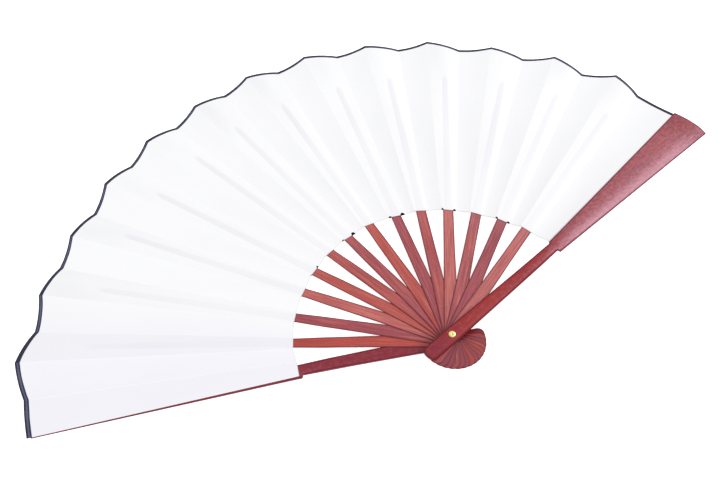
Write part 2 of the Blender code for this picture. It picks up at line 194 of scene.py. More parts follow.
def closedPlaces():
    # Where each body's rest frame goes as the fan closes (in metres)
    behaviour = frame["record"]["behaviour"]
    ratios = {item["joint"]: item["ratio"] for item in behaviour["couplings"]}
    fully = {item["name"]: item["range_deg"][1] for item in behaviour["joints"]}["fan_fold"]
    places = {"rear": Matrix.Identity(4)}
    for item in behaviour["joints"]:
        turn = math.radians(ratios.get(item["name"], 1.0) * fully)
        pivot = Matrix.Translation(item["pos_m"])
        turned = pivot @ Matrix.Rotation(turn, 4, item["axis"]) @ pivot.inverted()
        places[item["child"]] = places[item["parent"]] @ turned
    return places


closedPlace = closedPlaces()


def ease(low, high, at):
    # 0 below low, 1 above high, and between them thrice the share's square less twice its cube
    share = np.clip((at - low) / (high - low), 0, 1)
    return share * share * (3 - 2 * share)


def spot(radius, angle, height):
    # Points at these radii and clockwise angles (in radians) round the rivet's axis
    x, y, z = np.broadcast_arrays(radius * np.sin(angle), radius * np.cos(angle), height)
    return np.stack([x, y, z], -1)


def intoFan(points, angle, height=0.0, turnedOver=False):
    # From a piece's own frame: over about its length, clockwise about the rivet, and up
    x, y, z = np.moveaxis(np.asarray(points, float), -1, 0)
    if turnedOver:
        x, z = -x, -z
    turn = math.radians(angle)
    across = x * math.cos(turn) + y * math.sin(turn)
    along = y * math.cos(turn) - x * math.sin(turn)
    return np.stack([across, along, z + height], -1)


def gridFaces(rows, columns):
    # The four corners of every cell of a grid of points that is numbered row by row
    corner = np.arange((rows - 1) * columns).reshape(rows - 1, columns)[:, :-1]
    return np.stack([corner, corner + 1, corner + columns + 1, corner + columns], -1)


def stitch(name, patches, finishes, sharpAngle=35):
    # One closed mesh from grids of points that meet along their edges. A patch holds "points",
    # and may hold "map" (two numbers a point), "fields" (one number a point), "keep" (cells)
    # and "finish" (which of the materials)
    points, maps, quads, slots = [], [], [], []
    fields = {key: [] for key in patches[0].get("fields", {})}
    count = 0
    for patch in patches:
        grid = patch["points"]
        rows, columns = grid.shape[:2]
        cells = gridFaces(rows, columns) + count
        cells = cells[patch["keep"]] if "keep" in patch else cells.reshape(-1, 4)
        quads.append(cells)
        slots.append(np.full(len(cells), patch.get("finish", 0)))
        points.append(grid.reshape(-1, 3))
        maps.append(patch.get("map", grid[..., :2] / 1000).reshape(-1, 2))
        for key, found in fields.items():
            value = patch.get("fields", {}).get(key, 0.0)
            found.append(np.broadcast_to(value, (rows, columns)).reshape(-1))
        count += rows * columns
    points, maps = np.concatenate(points), np.concatenate(maps)
    quads, slots = np.concatenate(quads), np.concatenate(slots)
    _, first, weld = np.unique(np.round(points, 4), axis=0, return_index=True, return_inverse=True)
    weld = weld.reshape(-1)
    corners = weld[quads]
    shut = corners == np.roll(corners, -1, 1)
    whole = ~shut.any(1)
    parts, partSlots = [quads[whole]], [slots[whole]]
    for side in range(4):
        threeSided = shut[:, side] & (shut.sum(1) == 1)
        parts.append(quads[threeSided][:, [k for k in range(4) if k != side]])
        partSlots.append(slots[threeSided])
    slots = np.concatenate(partSlots)
    loops = np.concatenate([part.reshape(-1) for part in parts])
    faces = [face for part in parts for face in weld[part].tolist()]

    mesh = bpy.data.meshes.new(name)
    mesh.from_pydata((points[first] / 1000).tolist(), [], faces)
    mesh.uv_layers.new(name="grain").data.foreach_set("uv", maps[loops].ravel().astype(np.float32))
    mesh.polygons.foreach_set("material_index", slots.astype(np.int32))
    for key, found in fields.items():
        attribute = mesh.attributes.new(key, "FLOAT", "POINT")
        attribute.data.foreach_set("value", np.concatenate(found)[first].astype(np.float32))
    for finish in finishes:
        mesh.materials.append(finish)
    shape = bmesh.new()
    shape.from_mesh(mesh)
    bmesh.ops.recalc_face_normals(shape, faces=shape.faces)
    shape.to_mesh(mesh)
    shape.free()
    mesh.shade_smooth()
    mesh.set_sharp_from_angle(angle=math.radians(sharpAngle))
    piece = bpy.data.objects.new(name, mesh)
    bpy.context.scene.collection.objects.link(piece)
    return piece


class Wire:
    # A number's socket. Sums and products of wires and numbers become Math nodes
    def __init__(self, finish, socket):
        self.finish = finish
        self.socket = socket

    def __add__(self, other):
        return self.finish.maths("ADD", self, other)

    def __mul__(self, other):
        return self.finish.maths("MULTIPLY", self, other)

    def __sub__(self, other):
        return self.finish.maths("SUBTRACT", self, other)

    def __rsub__(self, other):
        return self.finish.maths("SUBTRACT", other, self)

    __radd__ = __add__
    __rmul__ = __mul__


class Finish:
    # A material or world under construction
    def __init__(self, name, owner=None):
        self.made = owner or bpy.data.materials.new(name)
        self.made.use_nodes = True
        self.tree = self.made.node_tree
        self.tree.nodes.clear()

    def node(self, kind, settings=None, sockets=None):
        node = self.tree.nodes.new(kind)
        for key, value in (settings or {}).items():
            setattr(node, key, value)
        for key, value in (sockets or {}).items():
            source = value.socket if isinstance(value, Wire) else value
            if isinstance(source, bpy.types.NodeSocket):
                self.tree.links.new(source, node.inputs[key])
            else:
                node.inputs[key].default_value = source
        return node

    def maths(self, operation, first, second=0.0):
        node = self.node("ShaderNodeMath", {"operation": operation}, {0: first, 1: second})
        return Wire(self, node.outputs[0])

    def number(self, kind, settings=None, sockets=None, output=0):
        return Wire(self, self.node(kind, settings, sockets).outputs[output])

    def field(self, name):
        return self.number("ShaderNodeAttribute", {"attribute_name": name}, output="Fac")

    def rise(self, at, low, high):
        settings = {"interpolation_type": "SMOOTHSTEP", "clamp": True}
        sockets = {"Value": at, "From Min": low, "From Max": high}
        return self.number("ShaderNodeMapRange", settings, sockets)

    def grain(self, scaleAcross, scaleAlong):
        place = self.node("ShaderNodeUVMap", {"uv_map": "grain"}).outputs[0]
        sockets = {0: place, 1: (scaleAcross, scaleAlong, 1.0)}
        return self.node("ShaderNodeVectorMath", {"operation": "MULTIPLY"}, sockets).outputs[0]

    def noise(self, vector, detail=2.0, roughness=0.5, scale=1.0):
        sockets = {"Vector": vector, "Scale": scale, "Detail": detail, "Roughness": roughness}
        return self.number("ShaderNodeTexNoise", {"noise_dimensions": "3D"}, sockets)

    def pattern(self, acrossPerMetre, alongPerMetre, detail, roughness):
        # Noise that is stretched along the grain
        return self.noise(self.grain(acrossPerMetre, alongPerMetre), detail, roughness)

    def seen(self):
        # 1 for what the camera sees, directly or in a shiny or clear surface, and 0 for light
        ray = self.node("ShaderNodeLightPath").outputs
        camera, glossy = Wire(self, ray["Is Camera Ray"]), Wire(self, ray["Is Glossy Ray"])
        through = Wire(self, ray["Is Transmission Ray"])
        return self.maths("MAXIMUM", self.maths("MAXIMUM", camera, glossy), through)

    def mix(self, factor, first, second, blend="MIX"):
        settings = {"data_type": "RGBA", "blend_type": blend}
        return self.node("ShaderNodeMix", settings, {0: factor, 6: first, 7: second}).outputs[2]

    def surface(self, sockets, bumpHeight=None, bumpDistance=0.0, bumpStrength=1.0):
        if bumpHeight is not None:
            bump = {"Strength": bumpStrength, "Distance": bumpDistance, "Height": bumpHeight}
            sockets["Normal"] = self.node("ShaderNodeBump", {}, bump).outputs[0]
        shader = self.node("ShaderNodeBsdfPrincipled", {}, sockets)
        self.node("ShaderNodeOutputMaterial", {}, {"Surface": shader.outputs[0]})
        return self.made


def screen(red, green, blue):
    # The linear colour that shows as these 0 to 255 values
    shares = np.array([red, green, blue]) / 255
    linear = np.where(shares > 0.04045, ((shares + 0.055) / 1.055) ** 2.4, shares / 12.92)
    return (*linear.tolist(), 1.0)


woodLook = {
    "plum": screen(146, 56, 70),
    "brick": screen(176, 62, 50),
    "pale": screen(206, 120, 112),
    # The dark edge colour, partly stain and partly painted shade where the sticks overlap
    "edge": screen(98, 18, 25),
    "pore": screen(96, 22, 30),
    "edgeFrom": 0.30,
    "edgeTo": 1.25,
    "edgeDepth": 0.88,
    "roughness": 0.46,
    "grain": 1.35,
    "mottle": 0.3,
    "streakFrom": (0.50, 0.68),
    "streakDepth": 0.42,
    "poreFrom": (0.58, 0.76),
    "poreDepth": 0.35,
    "relief": 0.00003,
    "bump": 0.6,
    "shine": 0.42,
}
varnishedLook = {
    **woodLook,
    "plum": screen(132, 38, 50),
    "brick": screen(156, 42, 38),
    # Its pinkish pale is also the colour of the guards' painted highlight
    "pale": screen(214, 152, 166),
    "edge": screen(108, 12, 30),
    "edgeFrom": 0.72,
    "edgeTo": 1.45,
    "edgeDepth": 0.90,
    "roughness": 0.36,
    "grain": 0.25,
    "mottle": 1.0,
    "shine": 0.22,
}
# How fine each pattern is across and along the grain (a metre), its detail and its roughness
woodPatterns = {
    "blotch": (70, 28, 3, 0.55),
    "fibre": (1500, 34, 4, 0.65),
    "streak": (2300, 20, 3, 0.6),
    "pore": (3600, 60, 2, 0.5),
    "speck": (900, 700, 2, 0.6),
    "mottle": (430, 260, 4, 0.62),
}


def stainedWood(name, look, glazed=False):
    # Long fibres and pores run along the piece's length. "dye" goes from plum to brick and
    # "pale" lightens it, both drifting in soft blotches; on a guard's blade "pale" also holds a
    # painted highlight. The piece darkens where "deep" says, with painted shade on the sticks'
    # heads, and towards its edges, partly stain and partly painted shade where pieces overlap. A
    # glazed piece has a coat of varnish where "glaze" says
    finish = Finish(name)
    grain = look["grain"]
    blotch, fibre, streak, pore, speck, mottle = [
        finish.pattern(*fineness) for fineness in woodPatterns.values()
    ]
    mottle = (mottle - 0.5) * look["mottle"]
    dye = finish.field("dye") + (blotch - 0.5) * 1.3 + (fibre - 0.5) * grain + mottle
    colour = finish.mix(finish.rise(dye, 0.0, 1.0), look["plum"], look["brick"])
    pale = finish.field("pale") + (fibre - 0.5) * (2.2 * grain) + (speck - 0.5) * 0.4 + mottle
    colour = finish.mix(finish.rise(pale, 0.0, 1.6), colour, look["pale"])
    for marks, kind in ((streak, "streak"), (pore, "pore")):
        shown = finish.rise(marks, *look[kind + "From"]) * (look[kind + "Depth"] * grain)
        colour = finish.mix(shown, colour, look["pore"])
    # Darker at the edges and where "deep" says: partly stain, partly painted shade
    rim = finish.field("rim") + (fibre - 0.5) * 0.3
    stainAndShade = (1 - finish.rise(rim, look["edgeFrom"], look["edgeTo"])) * look["edgeDepth"]
    stainAndShade = finish.maths("MAXIMUM", stainAndShade, finish.field("deep"))
    colour = finish.mix(stainAndShade, colour, look["edge"])
    rough = look["roughness"] + (fibre - 0.5) * 0.2
    sockets = {"Base Color": colour, "Roughness": rough, "Specular IOR Level": look["shine"]}
    if glazed:
        sockets["Coat Weight"] = finish.field("glaze")
        sockets["Coat Roughness"] = look["roughness"]
    return finish.surface(sockets, fibre + pore * 0.5, look["relief"] * grain, look["bump"])


paperLook = {
    "sheet": screen(248, 248, 247),
    "shade": screen(237, 237, 239),
    # A painted shade, cooler and greyer, towards the leaf's lower left
    "coolShade": screen(235, 233, 241),
    "slip": screen(205, 199, 218),
    "slipDepth": 0.34,
    # A painted highlight, the paler line along each crease
    "creaseHighlight": screen(253, 253, 254),
    "cutEdge": screen(176, 182, 186),
    "cloudFrom": (0.40, 0.75),
    "cloudDepth": 0.30,
    "fibreDepth": 0.14,
    "beyondFrom": (0.70, 0.97),
    "beyondDepth": 0.5,
    "coolDepth": 0.5,
    "crestFrom": (0.15, 0.9),
    "crestDepth": 0.3,
    "cutFrom": (0.15, 0.5),
    "cutDepth": 0.8,
    "roughness": 0.72,
    "relief": 0.00006,
    "bump": 0.8,
}


def leafPaper(name, look, slip=False):
    # Matt paper: fine fibres, faint clouds, a paler line on each crease that is a painted
    # highlight, painted shade cooling it towards the leaf's lower left, and a grey cut edge. In
    # the pockets the slip inside shows as a soft shade that deepens towards its tip, and the
    # panel is shaded beyond it
    finish = Finish(name)
    cloud = finish.pattern(30, 9, 2, 0.5)
    fibre = finish.pattern(1400, 900, 3, 0.6)
    ripple = finish.pattern(90, 7, 2, 0.5)
    along = finish.field("along")
    shade = finish.rise(cloud, *look["cloudFrom"]) * look["cloudDepth"]
    shade = shade + (fibre - 0.5) * look["fibreDepth"]
    if slip:
        beyond = finish.rise(along, *look["beyondFrom"]) * finish.field("leftward")
        shade = shade + beyond * look["beyondDepth"] * finish.rise(cloud, 0.2, 0.6)
    colour = finish.mix(shade, look["sheet"], look["shade"])
    # Painted shade, cooler towards the leaf's lower left
    colour = finish.mix(finish.field("coolShade") * look["coolDepth"], colour, look["coolShade"])
    if slip:
        depth = (0.55 + finish.rise(along, 0.1, 0.7) * 0.45) * (0.8 + (cloud - 0.5) * 0.8)
        held = finish.field("slip") * (0.72 + finish.field("leftward") * 0.28)
        colour = finish.mix(held * depth * look["slipDepth"], colour, look["slip"])
    # Painted highlight, a paler line along each crease
    creaseHighlight = 1 - finish.rise(finish.field("toCrease"), *look["crestFrom"])
    colour = finish.mix(creaseHighlight * look["crestDepth"], colour, look["creaseHighlight"])
    cut = 1 - finish.rise(finish.field("rim"), *look["cutFrom"])
    colour = finish.mix(cut * look["cutDepth"], colour, look["cutEdge"])
    sockets = {"Base Color": colour, "Roughness": look["roughness"], "Specular IOR Level": 0.3}
    return finish.surface(sockets, fibre * 0.12 + ripple * 3.0, look["relief"], look["bump"])


bindingLook = {
    "tape": screen(38, 38, 58),
    # The paler colour of the tape's painted sheen
    "tapeSheen": screen(104, 106, 136),
    "sheenFrom": (0.35, 1.1),
    "sheenDepth": 0.8,
    "roughness": 0.50,
    "relief": 0.00002,
    "bump": 0.5,
}


def bindingTape(look):
    # Dark coated paper tape with a fine cross grain, and a painted sheen that pales it across the
    # middle of its faces
    finish = Finish("bindingTape")
    weave = finish.pattern(2600, 2600, 2, 0.5)
    cloud = finish.pattern(90, 90, 2, 0.5)
    paintedSheen = finish.rise(finish.field("paintedSheen") + (cloud - 0.5) * 0.8, *look["sheenFrom"])
    tapeSheen = paintedSheen * look["sheenDepth"] + (weave - 0.5) * 0.2
    colour = finish.mix(tapeSheen, look["tape"], look["tapeSheen"])
    rough = look["roughness"] + (weave - 0.5) * 0.2
    sockets = {"Base Color": colour, "Roughness": rough, "Specular IOR Level": 0.25}
    return finish.surface(sockets, weave, look["relief"], look["bump"])


brassLook = {
    "brass": screen(222, 210, 138),
    "dullAndReflection": screen(124, 106, 44),
    "darkFrom": (0.1, 1.0),
    "darkDepth": 0.85,
    "roughness": 0.24,
    "relief": 0.00001,
    "bump": 0.4,
}


def rivetBrass(look):
    # Polished on the dome. Its middle is darker, a painted reflection, and rougher, and it is
    # duller where it meets the wood
    finish = Finish("rivetBrass")
    scratch = finish.pattern(900, 900, 3, 0.6)
    dullAndReflection = finish.rise(finish.field("dullAndReflection") + (scratch - 0.5) * 0.35, *look["darkFrom"])
    colour = finish.mix(dullAndReflection * look["darkDepth"], look["brass"], look["dullAndReflection"])
    rough = look["roughness"] + dullAndReflection * 0.25 + (scratch - 0.5) * 0.12
    sockets = {"Base Color": colour, "Roughness": rough, "Metallic": 1.0}
    return finish.surface(sockets, scratch, look["relief"], look["bump"])


# Painted shade for the inside of a pocket's mouth
mouthLook = {"shade": screen(10, 10, 13), "fibre": screen(34, 32, 38), "roughness": 0.9}


def pocketShade(look):
    # The inside of a pocket's mouth, which hardly any light reaches: painted shade, near black
    finish = Finish("pocketShade")
    colour = finish.mix(finish.pattern(1400, 900, 3, 0.6), look["shade"], look["fibre"])
    sockets = {"Base Color": colour, "Roughness": look["roughness"], "Specular IOR Level": 0.1}
    return finish.surface(sockets)


stickFinish = stainedWood("stickWood", woodLook)
guardFinish = stainedWood("guardWood", varnishedLook, glazed=True)
pocketFinish = leafPaper("pocketPaper", paperLook, slip=True)
foldFinish = leafPaper("foldPaper", paperLook)
mouthFinish = pocketShade(mouthLook)
tapeFinish = bindingTape(bindingLook)
brassFinish = rivetBrass(brassLook)
print("finishes: wood, paper, tape and brass")


def slab(upper, lower, maps, fields, edges, **more):
    # Patches for both faces of a thin piece and for the walls between them along these edges
    patches = [{"points": side, "map": maps, "fields": fields, **more} for side in (upper, lower)]
    for edge in edges:
        wall = {key: np.stack([value[edge]] * 2) for key, value in fields.items()}
        ends = np.stack([upper[edge], lower[edge]])
        patches.append({"points": ends, "map": np.stack([maps[edge]] * 2), "fields": wall})
    return patches


# The bore is a block of four by four cells whose rim is drawn onto a circle. It starts after the
# rows of headRows below and the columns of strip below that lie before it
boreCorner = (11, 8)
boreAcross = np.array([-2, -1, 0, 1, 2, 2, 2, 2, 2, 1, 0, -1, -2, -2, -2, -2, -2])
boreAlong = np.array([-2, -2, -2, -2, -2, -1, 0, 1, 2, 2, 2, 2, 2, 1, 0, -1, -2])


def plate(upper, lower, maps, fields, boreRadius):
    # A strip from its upper and lower surface, with walls all round and a bore through it
    boreRow, boreColumn = boreCorner
    rows, columns = boreRow + 2 + boreAlong, boreColumn + 2 + boreAcross
    turn = np.arctan2(boreAlong, boreAcross)
    for side in (upper, lower):
        side[rows, columns, 0] = boreRadius * np.cos(turn)
        side[rows, columns, 1] = boreRadius * np.sin(turn)
    keep = np.ones((upper.shape[0] - 1, upper.shape[1] - 1), bool)
    keep[boreRow : boreRow + 4, boreColumn : boreColumn + 4] = False
    edges = np.s_[0, :], np.s_[-1, :], np.s_[:, 0], np.s_[:, -1], (rows, columns)
    return slab(upper, lower, maps, fields, edges, keep=keep)


def strip(boreShare):
    # Shares of a half width, closer together towards both edges, and five across the bore
    side = np.array([1.0, 0.985, 0.955, 0.91, 0.84, 0.74, 0.62, boreShare + 0.12])
    return np.concatenate([-side, np.linspace(-boreShare, boreShare, 5), side[::-1]])


stick = {
    "thickness": 0.35,
    "rivetWidth": 10.8,
    "leafWidth": 7.5,
    "flare": 0.28,
    "flareRun": (70, 112),
    "headLength": 25.2,
    "headCorner": 4.97,
    "twistStart": 88.0,
    "twistEnd": 111.0,
    "stepStart": 113.7,
    "slipStart": 117.7,
    "slipEnd": 258.0,
    "slipWidth": 5.8,
    "slipTipWidth": 4.4,
    "slipCorner": 1.45,
    "slipThickness": 0.14,
    "easing": 0.55,
    "easingDepth": 0.12,
    "boreRadius": 1.7,
    "shankRows": (6, 84, 15),
    "twistRows": 13,
    "stepRows": 4,
    "slipRows": (124, 254, 12),
    "grainStep": (0.31, 0.17),
    # Painted shade where the heads lie stacked round the rivet: where it fades, and how much
    # plummer and darker the heads are
    "headTones": (-8, 30),
    "headPlum": 0.1,
    "headShade": 0.5,
    "headShadeDeep": 0.18,
    "dyes": (0.86, 0.16, 0.58, 0.84, 0.60, 0.30, 0.96, 0.12, 0.44, 0.48, 0.16, 0.10, 0.34),
    "pales": (0.22, 0.36, 0.86, 0.52, 0.50, 0.50, 0.50, 0.38, 0.48, 0.88, 0.62, 0.36, 0.86),
}


def stickHalfWidth(y):
    # Narrowing to the leaf, stepping in to the slip, with rounded corners at both ends
    narrowed = np.maximum(y, 0) / leaf["innerRadius"]
    shank = between(stick["rivetWidth"], stick["leafWidth"], narrowed) / 2
    shank = shank + stick["flare"] * ease(*stick["flareRun"], y)
    share = (y - stick["slipStart"]) / (stick["slipEnd"] - stick["slipStart"])
    slip = between(stick["slipWidth"], stick["slipTipWidth"], np.clip(share, 0, 1)) / 2
    step = np.clip((y - stick["stepStart"]) / (stick["slipStart"] - stick["stepStart"]), 0, 1)
    width = between(shank, slip, step)
    head = y + stick["headLength"], stick["headCorner"]
    tip = stick["slipEnd"] - y, stick["slipCorner"]
    for run, radius in (head, tip):
        short = np.clip(radius - run, 0, radius)
        width = width - radius + np.sqrt(radius * radius - short * short)
    return width


def edgeDrop(inset, reach, depth):
    # How far a surface falls near its edge: a quarter ellipse over the last stretch
    short = np.clip(1 - inset / reach, 0, 1)
    return depth * (1 - np.sqrt(1 - short * short))


def headInset(x, y, look):
    # How far in from the rounded end of a head, where the rounding is
    length, corner = look["headLength"], look["headCorner"]
    across = np.maximum(np.abs(x) - look["rivetWidth"] / 2 + corner, 0)
    past = corner - length - y
    return np.where(past > 0, corner - np.hypot(across, past), length)


def cornerRows(end, inward, radius):
    # Places along a rounded end, at even turns of its arc
    return end + inward * radius * (1 - np.cos(np.radians(np.linspace(0, 90, 8))))


def headRows(look):
    # Places along a head, up to and across its bore
    bore = look["boreRadius"]
    rounded = cornerRows(-look["headLength"], 1, look["headCorner"])
    return [rounded, [-16, -10, -5], np.linspace(-bore, bore, 5)]


def makeStick(number):
    # A flat strip that turns about its own length, by the pleat's tilt, before its slip begins.
    # The rows stand closer where it is rounded, twists or steps
    rows = np.concatenate([
        *headRows(stick),
        np.linspace(*stick["shankRows"]),
        np.linspace(stick["twistStart"], stick["twistEnd"], stick["twistRows"]),
        np.linspace(stick["stepStart"], stick["slipStart"], stick["stepRows"]),
        np.linspace(*stick["slipRows"]),
        cornerRows(stick["slipEnd"], -1, stick["slipCorner"])[::-1],
    ])
    shares = strip(2 * stick["boreRadius"] / stick["rivetWidth"])
    width = stickHalfWidth(rows)[:, None]
    x, y = shares * width, np.broadcast_to(rows[:, None], (len(rows), len(shares)))
    inset = (1 - np.abs(shares)) * width
    twisted = ease(stick["twistStart"], stick["twistEnd"], y)
    half = between(stick["thickness"], stick["slipThickness"], twisted) / 2
    depth = stick["easingDepth"] * half * 2 / stick["thickness"]
    tilt = pleatTilt * twisted
    # Where it leans within its pocket, it keeps to the pocket's tilted plane
    lean = leaf["innerLeans"][number - 1]
    leanHeight = -math.radians(lean) * y * math.tan(pleatTilt) * twisted
    upper = leanHeight + half - edgeDrop(inset, stick["easing"], depth)
    lower = leanHeight - half + edgeDrop(inset, stick["easing"], depth / 2)
    sides = []
    for z in (upper, lower):
        turned = x * np.cos(tilt) + z * np.sin(tilt), y, z * np.cos(tilt) - x * np.sin(tilt)
        sides.append(np.stack(turned, -1))
    # Painted shade: towards its head the stick is plummer and darker, where the heads lie stacked
    headward = 1 - ease(*stick["headTones"], y)
    fields = {
        "rim": np.minimum(inset, headInset(x, y, stick)),
        "dye": stick["dyes"][number - 1] - stick["headPlum"] * headward,
        "pale": stick["pales"][number - 1] - stick["headShade"] * headward,
        "deep": stick["headShadeDeep"] * headward,
    }
    # Each stick is cut from another place of the wood
    stepAcross, stepAlong = stick["grainStep"]
    maps = np.stack([x / 1000 + number * stepAcross, y / 1000 + number * stepAlong], -1)
    patches = plate(*sides, maps, fields, stick["boreRadius"])
    height = opening["firstHeight"] + (number - 1) * opening["pitch"]
    for patch in patches:
        patch["points"] = intoFan(patch["points"], stickAngle(number) + lean, height)
    piece = stitch(f"bambooStick_{number:02d}", patches, [stickFinish])
    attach(piece, f"stick_{number:02d}")
    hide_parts(f"stick_{number:02d}")
    return piece


guard = {
    "rivetWidth": 11.4,
    "neckWidth": 8.2,
    "headLength": 25.2,
    "headCorner": 4.56,
    "outerHeight": 0.9,
    "innerHeight": 2.9,
    "easing": 0.5,
    "flatShare": 0.25,
    "neckOuter": 6.4,
    "neckLeaf": 5.2,
    "tipOuter": 12.0,
    "tipLeaf": 19.6,
    "bladeEnd": 293.8,
    "bowStart": 247.0,
    "tipBow": 2.0,
    "shoulder": 111.5,
    "shoulderLength": 0.8,
    "outerRampStart": 60.0,
    "innerRampStart": 84.0,
    "glueGap": 0.18,
    "edgeReach": 0.30,
    "edgeDepth": 0.22,
    "boreRadius": 1.7,
    "shankRows": (6, 106, 26),
    "stepRows": 9,
    "bladeStart": 114,
    "bladeRows": 44,
    "endInsets": (1.6, 1.2, 0.9, 0.6, 0.3, 0.0),
    "shankFrom": (-20, 5),
    "bladeFrom": (92, 135),
    # The painted highlight along the blade's outer side: across it, along it, how much plummer it
    # is and how it fades towards the tip
    "highlightAcross": (0.35, -0.75),
    "highlightFrom": (40, 150),
    "highlightPlum": 0.2,
    "tipFadeFrom": (255, 292),
    "tipFade": 0.5,
    "tipDarkFrom": (262, 290),
    "tipDark": 0.45,
}


def guardWidths(y, slant=0.0):
    # How far the guard reaches to its outer side, where the shoulder may start a little sooner,
    # and to its leaf side
    shoulder, corner = guard["shoulder"], guard["headCorner"]
    shank = between(guard["rivetWidth"], guard["neckWidth"], np.maximum(y, 0) / shoulder) / 2
    short = np.clip(corner - (y + guard["headLength"]), 0, corner)
    shank = shank - corner + np.sqrt(corner**2 - short * short)
    share = np.maximum((y - shoulder) / (guard["bladeEnd"] - shoulder), 0)
    turned = ease(shoulder - guard["shoulderLength"], shoulder, y + slant)
    outer = between(shank, between(guard["neckOuter"], guard["tipOuter"], share), turned)
    turned = ease(shoulder - guard["shoulderLength"], shoulder, y)
    return outer, between(shank, between(guard["neckLeaf"], guard["tipLeaf"], share), turned)


def endPanelHeight(y):
    # The end panels fall away from the rivet as the valley creases do
    return rearLeafHeight - pleatSlope * math.tan(halfSpan) * y


frontGuard = {
    "name": "frontGuardBoard",
    "body": "front",
    "node": "front_guard",
    "angle": opening["frontGuard"],
    "turnedOver": True,
    "slant": 0.0,
    "dyes": (-0.05, 0.70, 0.35),
    "pales": (0.05, 0.12, 0.42),
    "outerHighlight": 0.55,
    "glaze": 0.25,
    "deep": 0.0,
    "seed": 7.3,
}
rearGuard = {
    "name": "rearGuardBoard",
    "body": "rear",
    "node": "rear_guard",
    "angle": opening["rearGuard"],
    "turnedOver": False,
    "slant": 3.2,
    "dyes": (-0.2, -0.2, 0.1),
    "pales": (0.0, 0.15, 0.1),
    "outerHighlight": 0.30,
    "glaze": 0.2,
    "deep": 0.10,
    "seed": 11.9,
}


def makeGuard(look):
    # Its outer face is flat in the middle and drawn in as a square towards its edges. Towards the
    # shoulder it comes out to the blade's, and the inner face sinks until it lies under the leaf
    shoulder, end = guard["shoulder"], guard["bladeEnd"]
    steps = sorted({shoulder - look["slant"], shoulder})
    rows = np.concatenate([
        *headRows(guard),
        np.linspace(*guard["shankRows"]),
        *[np.linspace(step - guard["shoulderLength"], step, guard["stepRows"]) for step in steps],
        np.linspace(guard["bladeStart"], end - guard["endInsets"][0], guard["bladeRows"]),
        end - np.array(guard["endInsets"][1:]),
    ])
    shares = strip(2 * guard["boreRadius"] / guard["rivetWidth"])
    outer, towardsLeaf = guardWidths(rows, look["slant"])
    widths = np.where(shares < 0, outer[:, None], towardsLeaf[:, None])
    x, y = shares * widths, np.broadcast_to(rows[:, None], widths.shape)
    inset = np.minimum((1 - np.abs(shares)) * widths, end - y)
    inset = np.minimum(inset, headInset(x, y, guard))
    turned = ease(guard["outerRampStart"], shoulder, y)
    curved = np.clip((np.abs(shares) - guard["flatShare"]) / (1 - guard["flatShare"]), 0, 1)
    outside = guard["outerHeight"] * (1 - turned) + guard["easing"] * curved * curved
    underLeaf = endPanelHeight(y) - guard["glueGap"]
    sunk = ease(guard["innerRampStart"], shoulder, y)
    inside = between(guard["innerHeight"], underLeaf, sunk)
    outside = outside + edgeDrop(inset, guard["edgeReach"], guard["edgeDepth"])
    inside = inside - edgeDrop(inset, guard["edgeReach"], guard["edgeDepth"] / 3)
    bow = np.clip((y - guard["bowStart"]) / (end - guard["bowStart"]), 0, 1)
    place = y - guard["tipBow"] * bow * shares * shares
    sides = [np.stack([x, place, z], -1) for z in (outside, inside)]
    # The head, the shank and the blade have their own tones. A painted highlight pales the blade
    # towards its outer side, less so at its tip
    onShank, onBlade = ease(*guard["shankFrom"], y), ease(*guard["bladeFrom"], y)
    tones = []
    for head, shank, blade in (look["dyes"], look["pales"]):
        tones.append(between(between(head, shank, onShank), blade, onBlade))
    dye, pale = tones
    # Painted highlight: paler and more plum towards the blade's outer side
    paintedHighlight = ease(*guard["highlightAcross"], shares) * ease(*guard["highlightFrom"], y)
    paintedHighlight = paintedHighlight * (1 - guard["tipFade"] * ease(*guard["tipFadeFrom"], y))
    tip = 1 - guard["tipDark"] * ease(*guard["tipDarkFrom"], y)
    fields = {
        "rim": inset,
        "dye": dye - guard["highlightPlum"] * paintedHighlight,
        "pale": pale * tip + look["outerHighlight"] * paintedHighlight,
        "deep": look["deep"] + 0 * y,
        "glaze": look["glaze"] * onBlade,
    }
    maps = np.stack([x / 1000 + look["seed"], y / 1000 + look["seed"]], -1)
    patches = plate(*sides, maps, fields, guard["boreRadius"])
    height = opening["guardsHeightSum"] if look["turnedOver"] else 0.0
    for patch in patches:
        patch["points"] = intoFan(patch["points"], look["angle"], height, look["turnedOver"])
    piece = stitch(look["name"], patches, [guardFinish])
    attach(piece, look["body"])
    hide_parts(look["node"])
    return piece


for number in range(1, opening["sticks"] + 1):
    makeStick(number)
print(f"sticks: {opening['sticks']}")

makeGuard(frontGuard)
makeGuard(rearGuard)
print("guards: 2")


def crease(angle, base, rise, outerRadius, leans=(0.0, 0.0), innerReach=0.0):
    # A straight crease from the leaf's inner edge to its outer one, climbing away from the rivet.
    # Its two ends lean a little off their even places
    radii = np.array([leaf["innerRadius"] + innerReach, outerRadius])
    return spot(radii, angle + np.radians(leans), base + rise * radii)


def ridge(angle, base, number):
    # The crease at the left of this pocket
    reach = leaf["ridgeRadius"] + leaf["ridgeReaches"][number - 1]
    innerLean = leaf["innerLeans"][number - 1] - leaf["mouthWidths"][number - 1] / 2
    leans = innerLean, leaf["ridgeLeans"][number - 1]
    return crease(angle, base, pleatRise, reach, leans, leaf["innerReaches"][number - 1])


def valley(angle, base, number):
    # The crease at the right of this pocket, or the rear fold's left one
    reach = leaf["valleyRadius"] + leaf["valleyReaches"][number]
    innerLean, innerReach = 0.0, leaf["innerReachRear"]
    if number:
        innerLean = leaf["innerLeans"][number - 1] + leaf["mouthWidths"][number - 1]
        innerReach = leaf["innerReaches"][number - 1]
    leans = innerLean, leaf["valleyLeans"][number]
    return crease(angle, base, -pleatRise, reach, leans, innerReach)


